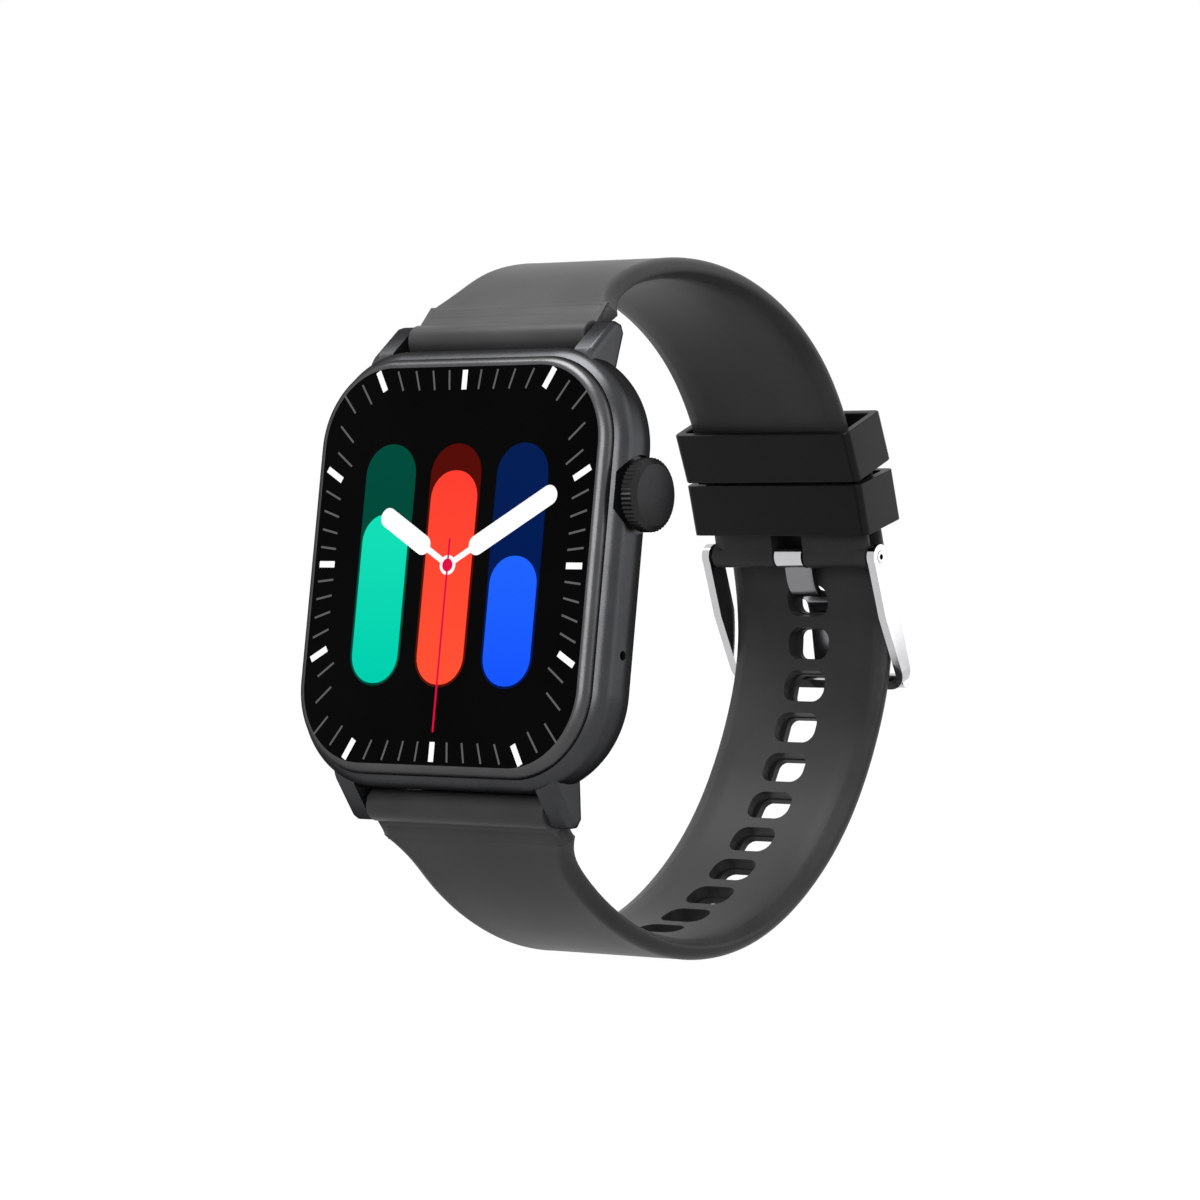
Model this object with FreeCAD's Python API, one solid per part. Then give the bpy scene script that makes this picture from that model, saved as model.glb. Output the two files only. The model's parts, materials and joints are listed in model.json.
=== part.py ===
import FreeCAD, Part
import math
import os

# Smartwatch: rounded-rectangular case with a crown, two silicone straps, a tang buckle and two loops.
#
# Watch frame: X towards the crown, Y from the glass towards the wrist, Z towards twelve o'clock, with the
# origin at the middle of the glass. At the end the whole watch leans back, and the middle of the wrist
# becomes the origin.

V = FreeCAD.Vector

# ---- driving dimensions (mm) -------------------------------------------------------------------------
# case
case_width = 37.6
case_height = 42.4
case_corner = 9.7          # corner radius seen from the front
case_front = 1.0           # rim behind the front of the glass
case_back = 8.3            # flat back of the middle case
front_round = 1.8
back_round = 4.4
case_wall = 2.3
lean = 8.08                # degrees that the watch leans back
wrist_middle = 31.0        # from the front of the glass to the middle of the wrist
# glass and display
glass_rim = 1.05           # metal lip around the glass, seen from the front
glass_thickness = 1.5
glass_round = 0.9          # rounding of the front edge of the glass
fit_gap = 0.1              # clearance round a seated part
seat_width = 1.3           # ledge that the glass is glued to
glue_thickness = 0.2
display_thickness = 0.7
display_margin = 0.35
# back cover
cover_thickness = 1.3
cover_rim = 0.9            # flat metal left round the back cover
cover_ledge = 1.6          # inward lip that the cover is screwed to
lip_thickness = 0.8
bump_radius = 12.4
bump_height = 1.7
bump_round = 1.2
lens_radius = 8.6
lens_thickness = 1.0
lens_round = 0.5
sensor_radius = 7.6
sensor_thickness = 0.6
led_size = (1.8, 0.5, 1.8)
gasket_thickness = 0.25
screw_inset = 2.4           # from the sides of the cover
screw_head_radius = 0.95
screw_head_height = 0.5
screw_radius = 0.5
screw_length = 1.9
contact_radius = 0.9
contact_spacing = 4.2
contact_drop = 10.6         # below the middle of the cover
# inside
chassis_thickness = 0.5
battery_width = 24.0
battery_thickness = 2.5
battery_x = 0.5
battery_foot_gap = 1.6      # to the wall at six o'clock
battery_head_gap = 1.7      # to the vibration motor
board_size = (24.0, 0.6, 11.0)
board_x = -2.0
board_gap = 2.2             # to the wall at twelve o'clock
board_chips = ((-1, 2.8, 3.4, 3.0, 2.0, 0.4), (-1, 2.8, 0.4, 2.4, 2.4, 0.5),
               (-1, 2.6, -3.2, 1.6, 3.2, 0.6), (1, 2.4, 3.0, 2.2, 2.2, 0.5),
               (1, 2.4, -3.2, 2.0, 1.2, 0.3))   # end, inset, Z from the middle, width, height, thickness
can_share = (0.55, 0.8)     # of the board that the shield can covers
can_height = 1.2
cable_slot = (8.0, 1.6)
cable_slot_gap = 0.4        # from the board to the slot
motor_size = (10.0, 2.2, 3.2)
motor_x = -4.0
motor_gap = 1.5             # to the board
speaker_size = (3.0, 2.2, 9.0)
speaker_gap = 1.0           # to the board
speaker_hole = 0.5
speaker_pitch = 1.6
speaker_count = 5
microphone_size = (1.6, 1.4, 2.6)
microphone_hole = 0.45
microphone_place = (3.9, -7.9)  # Y and Z of its hole
# crown
crown_place = (4.7, 7.35)  # Y and Z of its axis
crown_radius = 3.5
crown_length = 1.5
crown_dome = 0.2
crown_bevel = 0.6
crown_bevel_length = 0.45
crown_ribs = 48
rib_depth = 0.16
crown_travel = 0.4
recess_depth = 0.7
recess_gap = 0.25
crown_rest_gap = 0.45       # left under the crown when it is pressed
stem_radius = 0.75
stem_grip = 0.9             # stem length inside the crown
tube_wall = 0.45
tube_inside = 0.4           # crown tube beyond the wall, inside the case
running_gap = 0.05          # radial clearance of a shaft
clip_thickness = 0.35
clip_width = 0.55
ring_wire = 0.22
ring_groove = 0.2           # depth of the stem groove for the sealing ring
plate_size = (0.4, 2.0, 3.0)
switch_size = (1.6, 3.0, 3.4)
plunger_radius = 0.6
plunger_length = 0.5        # between the switch and its plate
plunger_start = 0.1         # plunger inside the switch at rest
end_gap = 0.05              # between pieces that only touch when pressed
# lugs and spring bars
lug_gap = 22.4
lug_width = 2.4
lug_reach = 3.0             # how far the lugs stand off the end of the case
bar_depth = 5.7             # Y of a spring bar
bar_offset = 1.7            # spring bar axis beyond the end of the case
bar_radius = 0.75
bar_wall = 0.22
tip_radius = 0.4
tip_reach = 0.9             # how far a bar tip goes into its lug
tip_root = 2.2              # part of a tip inside the tube
rod_length = 5.2            # sliding tip inside the tube
lever_travel = 1.2
knob_radius = 0.65
knob_height = 0.9
knob_neck = 0.3
knob_inset = 2.8            # knob from the end of the tube
spring_turns = 7
spring_wire = 0.12
spring_sides = 10           # straight pieces in a turn
# straps
strap_thickness = 2.05
strap_half_width = 9.75
shoulder_half_width = 11.7
shoulder_start = 3.1        # along the strap from the spring bar
shoulder_length = 31.0      # over which the strap narrows to its plain width
bevel_width = 1.7
bevel_height = 0.55
eye_radius = 1.3
neck_thickness = 1.7
station_step = 5.5          # between cross-sections of the plain part
side_gap = 0.25             # strap end to lug, each side
hole_count = 11
hole_pitch = 4.72
hole_size = (5.1, 3.3)
hole_corner = 1.3
hole_step = (0.45, 0.1)     # the opening is smaller on the outside by this, per side
hole_step_depth = 0.75      # thickness of the smaller part
tail_overlap = 12.7         # tail beyond the buckle pin
# buckle and loops
buckle_pin = (56.1, 8.5)    # Y and Z of the pin axis
pin_radius = 0.6
pin_bore = 0.3
pin_eye_radius = 1.2       # strap end round the pin
first_hole = 5.1            # from the pin back along the tail
buckle_length = 14.0        # pin to far bar
buckle_angle = -62.5        # degrees of the frame in the YZ plane
ear_width = 2.5
ear_thickness = 0.9
ear_gap = 0.35
far_bar_radius = 0.75
far_bar_offset = 0.85       # outward of the middle of the ears
frame_corner = 2.2
ear_head_radius = 1.3
tongue_width = 3.4
tongue_thickness = 0.9
tongue_eye_wall = 0.55
tongue_rest_gap = 0.2
tongue_tip = 1.3            # beyond the far bar
notch_gap = 0.25
notch_length = 2.6          # from the pin up the strap
stack_gap = 0.2             # between the two straps
loop_length = 5.4
loop_wall = 0.85
loop_side_wall = 0.95
loop_gap = 0.35
loop_spacing = 0.55
loop_start = 2.8            # from the pin up to the lower loop
loop_corner = 0.7

# neutral lines of the straps between the spring bars and the buckle, as (Y, Z)
upper_knots = [(11.0, 28.6), (18.3, 31.75), (26.2, 32.7), (34.1, 31.8), (41.6, 28.9),
               (46.4, 25.35), (50.2, 20.75), (53.2, 15.5)]
lower_knots = [(11.9, -28.1), (20.0, -32.2), (29.5, -33.9), (42.0, -31.5), (49.8, -26.3),
               (55.8, -19.1), (59.7, -10.2), (61.1, -0.5)]
upper_start = 56.0          # headings at the spring bars and at the pin, degrees
lower_start = -41.0
upper_finish = -71.5

# ---- sizes that follow -------------------------------------------------------------------------------
half_w = case_width / 2
half_h = case_height / 2
glass_w = half_w - glass_rim
glass_h = half_h - glass_rim
glass_corner = case_corner - glass_rim
inner_w = half_w - case_wall
inner_h = half_h - case_wall
inner_corner = case_corner - case_wall
ledge_w = glass_w - seat_width
ledge_h = glass_h - seat_width
ledge_corner = glass_corner - seat_width
ledge_front = glass_thickness + glue_thickness
display_back = glass_thickness + display_thickness
chassis_front = display_back + fit_gap
chassis_back = chassis_front + chassis_thickness
board_z = inner_h - board_gap - board_size[2] / 2
board_foot = board_z - board_size[2] / 2
speaker_z = board_foot - speaker_gap - speaker_size[2] / 2
motor_z = board_foot - motor_gap - motor_size[2] / 2
battery_foot = -inner_h + battery_foot_gap
battery_head = motor_z - motor_size[2] / 2 - battery_head_gap
cover_w = half_w - back_round - cover_rim
cover_h = half_h - back_round - cover_rim
cover_corner = case_corner - back_round - cover_rim
cover_front = case_back - cover_thickness
lip_front = cover_front - gasket_thickness - lip_thickness
crown_y, crown_z = crown_place
recess_floor = half_w - recess_depth
crown_start = recess_floor + crown_travel + crown_rest_gap
crown_end = crown_start + crown_length
tube_start = inner_w - tube_inside
stem_start = tube_start - clip_thickness - 1.0
plate_end = stem_start - end_gap
switch_end = plate_end - plate_size[0] - plunger_length
bar_z = half_h + bar_offset
lug_inner = lug_gap / 2
lug_outer = lug_inner + lug_width
neck_half_width = lug_inner - side_gap
tube_half = neck_half_width - 0.15
knob_x = -tube_half + knob_inset
ear_inner = strap_half_width + ear_gap
ear_outer = ear_inner + ear_thickness
loop_inner_half = strap_half_width + loop_gap
stack_step = strap_thickness + stack_gap


# ---- basic solids ------------------------------------------------------------------------------------
def rounded_plate(half_width, half_height, corner, y0, y1):
    """Rounded rectangle seen along Y, from y0 to y1."""
    box = Part.makeBox(2 * half_width, y1 - y0, 2 * half_height, V(-half_width, y0, -half_height))
    upright = [e for e in box.Edges if abs(e.Vertexes[0].Y - e.Vertexes[-1].Y) > 1e-6]
    return box.makeFillet(corner, upright)


def block(size, middle):
    """Box of a size (X, Y, Z) about its middle."""
    return Part.makeBox(*size, V(*middle) - V(*size) * 0.5)


def rod(radius, x0, x1, y, z):
    """Round bar along X."""
    return Part.makeCylinder(radius, x1 - x0, V(x0, y, z), V(1, 0, 0))


def post(radius, y0, y1, x, z):
    """Round bar along Y."""
    return Part.makeCylinder(radius, y1 - y0, V(x, y0, z), V(0, 1, 0))


def edges_at_y(shape, y):
    """Edges that lie wholly in the plane of one Y."""
    box_of = [(e, e.BoundBox) for e in shape.Edges]
    return [e for e, b in box_of if abs(b.YMin - y) < 1e-4 and abs(b.YMax - y) < 1e-4]


def edges_at_x(shape, x):
    """Edges that lie wholly in the plane of one X."""
    box_of = [(e, e.BoundBox) for e in shape.Edges]
    return [e for e, b in box_of if abs(b.XMin - x) < 1e-4 and abs(b.XMax - x) < 1e-4]


def mirrored(shape, normal):
    """Copy mirrored in a plane through the origin."""
    return shape.mirror(V(0, 0, 0), normal)


def prism(outline, x0, x1):
    """Closed wire in the YZ plane, drawn out along X from x0 to x1."""
    face = Part.Face(outline)
    face.translate(V(x0 - face.BoundBox.XMin, 0, 0))
    return face.extrude(V(x1 - x0, 0, 0))


# ---- strap neutral lines -----------------------------------------------------------------------------
class Track:
    """Smooth line in the YZ plane, measured by its length, with an outward side."""

    def __init__(self, knots, start, end, side):
        points = [V(0, y, z) for y, z in knots]
        reach = [0.0]
        for first, second in zip(points, points[1:]):
            reach.append(reach[-1] + first.distanceToPoint(second))
        curve = Part.BSplineCurve()
        curve.interpolate(Points=points, Parameters=reach, Scale=False,
                          InitialTangent=heading(start), FinalTangent=heading(end))
        self.edge = curve.toShape()
        self.curve = curve
        self.side = side
        self.length = self.edge.Length

    def frame(self, distance):
        """Point, direction and outward normal at a distance along the line."""
        at = self.edge.getParameterByLength(min(max(distance, 0.0), self.length))
        along = self.edge.tangentAt(at)
        out = V(0, -along.z, along.y) * self.side
        return self.edge.valueAt(at), along, out

    def nearest(self, point):
        """Distance along the line of its point nearest to a given point."""
        at = self.curve.parameter(point)
        return self.curve.length(self.curve.FirstParameter, at)


def heading(degrees):
    """Unit vector in the YZ plane."""
    return V(0, math.cos(math.radians(degrees)), math.sin(math.radians(degrees)))


pin = V(0, *buckle_pin)
frame_along = heading(buckle_angle)
frame_out = heading(buckle_angle + 90)
upper = Track([(bar_depth, bar_z)] + upper_knots + [buckle_pin], upper_start, upper_finish, 1)


def tail_knots():
    """The tail lies over the eye of the pin and then on the buckle strap."""
    over = []
    for back, lift in ((0.0, pin_eye_radius + stack_gap + 0.1 + strap_thickness / 2),
                       (loop_start, stack_step + 0.06), (loop_start + loop_length, stack_step),
                       (tail_overlap, stack_step)):
        point, along, out = upper.frame(upper.length - back)
        over.append(point + out * lift)
    return over


tail_top = tail_knots()
end_along = upper.frame(upper.length - tail_overlap)[1]
end_heading = math.degrees(math.atan2(-end_along.z, -end_along.y))
lower = Track([(bar_depth, -bar_z)] + lower_knots + [(p.y, p.z) for p in tail_top],
              lower_start, end_heading, -1)
over_pin = lower.nearest(tail_top[0])
upper_end = upper.frame(upper.length)[1]
pin_out = upper.frame(upper.length)[2]
hole_places = [over_pin - first_hole - i * hole_pitch for i in range(hole_count)]


def strap_section(track, distance, half_width, thickness):
    """Cross-section: flat face and bevels on the wrist side, well rounded outer edges."""
    point, along, out = track.frame(distance)
    half_t = thickness / 2
    edge_n = -half_t + bevel_height + 0.35
    rise = half_t - edge_n
    round_w = min(rise * 1.35, half_width / 2)
    slope_w = min(bevel_width, half_width / 3)

    def at(x, n):
        return V(x, 0, 0) + point + out * n

    def side(sign):
        a = at(sign * (half_width - slope_w), -half_t)
        b = at(sign * (half_width - 0.2), -half_t + bevel_height)
        b_mid = at(sign * (half_width - 0.05), -half_t + bevel_height + 0.15)
        c = at(sign * half_width, edge_n)
        c_mid = at(sign * (half_width - 0.28 * round_w), half_t - 0.28 * rise)
        d = at(sign * (half_width - round_w), half_t)
        return a, b, b_mid, c, c_mid, d

    ra, rb, rbm, rc, rcm, rd = side(1)
    la, lb, lbm, lc, lcm, ld = side(-1)
    return Part.Wire([
        Part.makeLine(la, ra), Part.makeLine(ra, rb),
        Part.Arc(rb, rbm, rc).toShape(), Part.Arc(rc, rcm, rd).toShape(),
        Part.makeLine(rd, ld),
        Part.Arc(ld, lcm, lc).toShape(), Part.Arc(lc, lbm, lb).toShape(), Part.makeLine(lb, la)])


def strap_loft(track, stations):
    """Strap through stations of (distance, half width, thickness)."""
    return Part.makeLoft([strap_section(track, *s) for s in stations], True, False)


def ribbon(points, thickness, half_width):
    """Bent sheet along a smooth line of points in the YZ plane, centred on X = 0."""
    curve = Part.BSplineCurve()
    curve.interpolate(points)
    edge = curve.toShape()
    steps = 4 * len(points)
    sides = ([], [])
    for i in range(steps + 1):
        at = edge.getParameterByLength(edge.Length * i / steps)
        along = edge.tangentAt(at)
        out = V(0, -along.z, along.y) * (thickness / 2)
        sides[0].append(edge.valueAt(at) + out)
        sides[1].append(edge.valueAt(at) - out)
    first, second = (Part.BSplineCurve(), Part.BSplineCurve())
    first.interpolate(sides[0])
    second.interpolate(sides[1])
    wire = Part.Wire([first.toShape(), Part.makeLine(sides[0][-1], sides[1][-1]),
                      second.toShape(), Part.makeLine(sides[1][0], sides[0][0])])
    return prism(wire, -half_width, half_width)


def along_block(point, along, out, half_x, length, n0, n1):
    """Box about a point: half_x each way along X, length along the strap, n0 to n1 outward."""
    def corner(x, t, n):
        return V(x, 0, 0) + point + along * t + out * n
    low = [corner(-half_x, -length / 2, n0), corner(half_x, -length / 2, n0),
           corner(half_x, length / 2, n0), corner(-half_x, length / 2, n0)]
    base = Part.Face(Part.makePolygon(low + low[:1]))
    return base.extrude(out * (n1 - n0))


def long_edges(shape, direction):
    """Straight edges that run along a direction."""
    found = []
    for e in shape.Edges:
        if isinstance(e.Curve, Part.Line) and abs(abs(e.Curve.Direction.dot(direction)) - 1) < 1e-4:
            found.append(e)
    return found


def placed(shape, origin, along, out):
    """Solid drawn with Y along a strap and Z outward, laid at a point of it."""
    turn = FreeCAD.Rotation(along.cross(out), along, out, "XYZ")
    moved = shape.copy()
    moved.Placement = FreeCAD.Placement(origin, turn).multiply(moved.Placement)
    return moved


def rounded_bar(half_x, length, corner, z0, z1):
    """Upright block with rounded corners, about the Z axis."""
    solid = Part.makeBox(2 * half_x, length, z1 - z0, V(-half_x, -length / 2, z0))
    return solid.makeFillet(corner, long_edges(solid, V(0, 0, 1)))


# ---- case --------------------------------------------------------------------------------------------
def lug():
    """Lug at twelve o'clock on the crown side, leaning towards the wrist."""
    top = half_h + lug_reach
    outline = [V(0, bar_depth - 4.1, half_h - 2.6), V(0, bar_depth - 3.4, half_h - 0.1),
               V(0, bar_depth - 0.7, top - 0.25), V(0, bar_depth - 0.1, top),
               V(0, bar_depth + 0.7, top - 0.15), V(0, bar_depth + 1.2, top - 1.0),
               V(0, bar_depth + 0.7, half_h - 0.6), V(0, bar_depth - 0.1, half_h - 2.8)]
    solid = prism(Part.makePolygon(outline + outline[:1]), lug_inner, lug_outer)
    outside = edges_at_x(solid, lug_outer)
    return solid.makeFillet(0.7, [e for e in outside if e.BoundBox.ZMax > half_h + 0.5])


def case():
    """Metal middle case with lugs, glass seat, crown bore, microphone and speaker holes."""
    solid = rounded_plate(half_w, half_h, case_corner, case_front, case_back)
    solid = solid.makeFillet(front_round, edges_at_y(solid, case_front))
    solid = solid.makeFillet(back_round, edges_at_y(solid, case_back))
    corner_lug = lug()
    for flip_x in (False, True):
        for flip_z in (False, True):
            piece = mirrored(corner_lug, V(1, 0, 0)) if flip_x else corner_lug
            piece = mirrored(piece, V(0, 0, 1)) if flip_z else piece
            solid = solid.fuse(piece)
    seat = rounded_plate(glass_w, glass_h, glass_corner, 0, ledge_front)
    mouth = rounded_plate(ledge_w, ledge_h, ledge_corner, 0, chassis_front)
    hollow = rounded_plate(inner_w, inner_h, inner_corner, chassis_front, lip_front)
    way_in = rounded_plate(cover_w - cover_ledge, cover_h - cover_ledge, cover_corner - cover_ledge,
                           lip_front, case_back)
    rebate = rounded_plate(cover_w, cover_h, cover_corner, cover_front - gasket_thickness,
                           case_back + 1)
    solid = solid.cut([seat, mouth, hollow, way_in, rebate])
    recess = rod(crown_radius + recess_gap, recess_floor, half_w + 2, crown_y, crown_z)
    bore = rod(stem_radius + running_gap + tube_wall, inner_w - 1, half_w, crown_y, crown_z)
    holes = [rod(microphone_hole, inner_w - 1, half_w + 1, *microphone_place)]
    for i in range(speaker_count):
        z = speaker_z + (i - (speaker_count - 1) / 2) * speaker_pitch
        holes.append(rod(speaker_hole, -half_w - 1, -inner_w + 1, microphone_place[0], z))
    for sx in (-1, 1):
        for sz in (-1, 1):
            x0, x1 = sorted((sx * (lug_inner - 1), sx * (lug_inner + tip_reach + 0.3)))
            holes.append(rod(tip_radius + running_gap, x0, x1, bar_depth, sz * bar_z))
            holes.append(post(screw_radius, lip_front, case_back, *screw_place(sx, sz)))
    return solid.cut([recess, bore] + holes)


def screw_place(side_x, side_z):
    """X and Z of a back cover screw."""
    return side_x * (cover_w - screw_inset), side_z * (cover_h - screw_inset)


def screw_places():
    return [screw_place(sx, sz) for sx in (-1, 1) for sz in (-1, 1)]


# ---- glass and display -------------------------------------------------------------------------------
def cover_glass():
    solid = rounded_plate(glass_w - fit_gap, glass_h - fit_gap, glass_corner - fit_gap,
                          0, glass_thickness)
    return solid.makeFillet(glass_round, edges_at_y(solid, 0))


def glass_adhesive():
    outer = rounded_plate(glass_w - 2 * fit_gap, glass_h - 2 * fit_gap, glass_corner - 2 * fit_gap,
                          glass_thickness, ledge_front)
    return outer.cut(rounded_plate(ledge_w, ledge_h, ledge_corner, 0, chassis_front))


def display_panel():
    inset = display_margin
    return rounded_plate(ledge_w - inset, ledge_h - inset, ledge_corner - inset,
                         glass_thickness, display_back)


# ---- inside the case ---------------------------------------------------------------------------------
def chassis():
    """Plate behind the display that carries the battery and the board."""
    solid = rounded_plate(inner_w - fit_gap, inner_h - fit_gap, inner_corner - fit_gap,
                          chassis_front, chassis_back)
    slot_z = board_z + board_size[2] / 2 + cable_slot_gap + cable_slot[1] / 2
    slot_size = (cable_slot[0], 2 * chassis_thickness + 1, cable_slot[1])
    return solid.cut(block(slot_size, (motor_x, chassis_front, slot_z)))


def on_chassis(size, place):
    """Block that lies on the chassis plate."""
    return block(size, (place[0], chassis_back + size[1] / 2, place[1]))


def battery():
    size = (battery_width, battery_thickness, battery_head - battery_foot)
    solid = on_chassis(size, (battery_x, (battery_head + battery_foot) / 2))
    return solid.makeFillet(0.8, long_edges(solid, V(0, 1, 0)))


def main_board():
    """Printed circuit board with its chips."""
    solid = on_chassis(board_size, (board_x, board_z))
    face = chassis_back + board_size[1]
    for end, inset, dz, width, height, thickness in board_chips:
        x = board_x + end * (board_size[0] / 2 - inset)
        solid = solid.fuse(block((width, thickness, height), (x, face + thickness / 2, board_z + dz)))
    return solid


def shield_can():
    face = chassis_back + board_size[1]
    size = (board_size[0] * can_share[0], can_height, board_size[2] * can_share[1])
    solid = block(size, (board_x, face + can_height / 2, board_z))
    return solid.makeFillet(0.3, edges_at_y(solid, face + can_height))


def vibration_motor():
    solid = on_chassis(motor_size, (motor_x, motor_z))
    return solid.makeFillet(0.6, long_edges(solid, V(1, 0, 0)))


def speaker():
    """Speaker box against the holes in the left side."""
    x = -inner_w + fit_gap + speaker_size[0] / 2
    solid = on_chassis(speaker_size, (x, speaker_z))
    return solid.makeFillet(0.5, long_edges(solid, V(0, 1, 0)))


def microphone():
    """Microphone against its hole in the right side."""
    x = inner_w - fit_gap - microphone_size[0] / 2
    return on_chassis(microphone_size, (x, microphone_place[1]))


# ---- back of the case --------------------------------------------------------------------------------
def back_gasket():
    front = cover_front - gasket_thickness
    outer = rounded_plate(cover_w - fit_gap, cover_h - fit_gap, cover_corner - fit_gap,
                          front, cover_front)
    inset = cover_ledge
    solid = outer.cut(rounded_plate(cover_w - inset, cover_h - inset, cover_corner - inset,
                                    front, cover_front))
    return solid.cut([post(screw_head_radius + 0.1, front, cover_front, *p) for p in screw_places()])


def back_cover():
    """Plastic back with the raised sensor boss."""
    solid = rounded_plate(cover_w - fit_gap, cover_h - fit_gap, cover_corner - fit_gap,
                          cover_front, case_back)
    boss = post(bump_radius, cover_front, case_back + bump_height, 0, 0)
    boss = boss.makeFillet(bump_round, edges_at_y(boss, case_back + bump_height))
    top = case_back + bump_height
    cuts = [post(lens_radius + fit_gap, top - lens_thickness, top + 1, 0, 0),
            post(sensor_radius + fit_gap, cover_front - 1, top, 0, 0)]
    for x, z in screw_places():
        cuts.append(post(screw_radius + fit_gap, cover_front - 1, case_back + 1, x, z))
        cuts.append(post(screw_head_radius + fit_gap, case_back - screw_head_height, case_back + 1, x, z))
    for side in (-1, 1):
        cuts.append(post(contact_radius + fit_gap, cover_front - 1, top + 1,
                         side * contact_spacing / 2, -contact_drop))
    return solid.fuse(boss).cut(cuts)


def sensor_lens():
    top = case_back + bump_height
    solid = post(lens_radius, top - lens_thickness, top, 0, 0)
    return solid.makeFillet(lens_round, edges_at_y(solid, top))


def sensor_board():
    """Round board with two light emitters and a light sensor behind the lens."""
    back = case_back + bump_height - lens_thickness - fit_gap
    board_back = back - led_size[1]
    solid = post(sensor_radius, board_back - sensor_thickness, board_back, 0, 0)
    for x in (-3.2, 0.0, 3.2):
        solid = solid.fuse(block(led_size, (x, board_back + led_size[1] / 2, 0)))
    return solid


def charging_contacts():
    """Two pins in the back cover, each with a flange inside."""
    pins = []
    for side in (-1, 1):
        x = side * contact_spacing / 2
        head = post(contact_radius, cover_front, case_back + bump_height - 0.25, x, -contact_drop)
        flange = post(contact_radius + 0.5, cover_front - 0.2, cover_front, x, -contact_drop)
        pins.append(head.fuse(flange))
    return Part.makeCompound(pins)


def back_screws():
    """Four countersunk-slot screws."""
    screws = []
    for x, z in screw_places():
        head = post(screw_head_radius, case_back - screw_head_height, case_back - 0.05, x, z)
        shank = post(screw_radius - 0.02, case_back - screw_length, case_back - screw_head_height, x, z)
        slot = block((2 * screw_head_radius, 0.5, 0.3), (x, case_back, z))
        screws.append(head.fuse(shank).cut(slot))
    return Part.makeCompound(screws)


# ---- crown -------------------------------------------------------------------------------------------
def crown_cap():
    """Ribbed cap with a bevelled, slightly domed end, bored for the stem."""
    ribs = []
    for i in range(2 * crown_ribs):
        angle = math.pi * i / crown_ribs
        radius = crown_radius - rib_depth * (i % 2)
        ribs.append(V(crown_start, crown_y + radius * math.cos(angle), crown_z + radius * math.sin(angle)))
    star = Part.Face(Part.makePolygon(ribs + ribs[:1])).extrude(V(crown_length + crown_dome, 0, 0))
    flat = crown_radius - crown_bevel
    corner = V(crown_end, crown_y + flat, crown_z)
    dome = Part.Arc(corner, V(crown_end + 0.75 * crown_dome, crown_y + flat / 2, crown_z),
                    V(crown_end + crown_dome, crown_y, crown_z)).toShape()
    rim = V(crown_end - crown_bevel_length, crown_y + crown_radius + 0.01, crown_z)
    foot = V(crown_start, crown_y + crown_radius + 0.01, crown_z)
    base = V(crown_start, crown_y, crown_z)
    lines = [Part.makeLine(corner, rim), Part.makeLine(rim, foot), Part.makeLine(foot, base),
             Part.makeLine(base, V(crown_end + crown_dome, crown_y, crown_z))]
    outline = Part.Wire(Part.__sortEdges__([dome] + lines))
    turned = Part.Face(outline).revolve(V(0, crown_y, crown_z), V(1, 0, 0), 360)
    bore = rod(stem_radius, crown_start - 1, crown_start + stem_grip, crown_y, crown_z)
    return star.common(turned).cut(bore)


def ring_middle():
    """X of the sealing ring: inside the crown tube over the whole push."""
    return recess_floor - 1.0


def crown_stem():
    solid = rod(stem_radius, stem_start, crown_start + stem_grip, crown_y, crown_z)
    groove = rod(stem_radius, ring_middle() - ring_wire, ring_middle() + ring_wire, crown_y, crown_z)
    core = rod(stem_radius - ring_groove, ring_middle() - ring_wire, ring_middle() + ring_wire,
               crown_y, crown_z)
    clip_groove = rod(stem_radius, tube_start - end_gap - clip_thickness, tube_start - end_gap,
                      crown_y, crown_z)
    clip_core = rod(stem_radius - ring_groove, tube_start - end_gap - clip_thickness,
                    tube_start - end_gap, crown_y, crown_z)
    return solid.cut([groove.cut(core), clip_groove.cut(clip_core)])


def crown_seal():
    """Sealing ring in the groove of the stem."""
    middle = V(ring_middle(), crown_y, crown_z)
    radius = stem_radius - ring_groove + ring_wire / 2 + 0.01
    return Part.makeTorus(radius, ring_wire / 2, middle, V(1, 0, 0))


def crown_tube():
    """Sleeve pressed into the side of the case."""
    outer = rod(stem_radius + running_gap + tube_wall, tube_start, recess_floor, crown_y, crown_z)
    return outer.cut(rod(stem_radius + running_gap, tube_start - 1, recess_floor + 1, crown_y, crown_z))


def crown_clip():
    """Open clip in the groove at the inner end of the stem."""
    end = tube_start - end_gap
    outer = rod(stem_radius - ring_groove + clip_width, end - clip_thickness, end, crown_y, crown_z)
    inner = rod(stem_radius - ring_groove, end - clip_thickness - 1, end + 1, crown_y, crown_z)
    mouth = block((3.0, 3.0, stem_radius), (end, crown_y + 1.5, crown_z))
    return outer.cut([inner, mouth])


def crown_plate():
    """Plate with the switch's plunger, which carries the push from the stem into the switch."""
    x = plate_end - plate_size[0] / 2
    solid = block(plate_size, (x, crown_y, crown_z))
    solid = solid.makeFillet(0.5, long_edges(solid, V(1, 0, 0)))
    return solid.fuse(rod(plunger_radius, switch_end - plunger_start, x, crown_y, crown_z))


def crown_switch():
    """Push switch on the chassis, bored for its plunger."""
    x = switch_end - switch_size[0] / 2
    depth = plunger_start + crown_travel + end_gap
    bore = rod(plunger_radius + running_gap, switch_end - depth, switch_end + 1, crown_y, crown_z)
    return on_chassis(switch_size, (x, crown_z)).cut(bore)


# ---- spring bars -------------------------------------------------------------------------------------
def bar_line(side):
    """Y and Z of a spring bar, side +1 at twelve o'clock and -1 at six."""
    return bar_depth, side * bar_z


def knob_direction(track):
    return track.frame(0)[2] * -1


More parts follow.
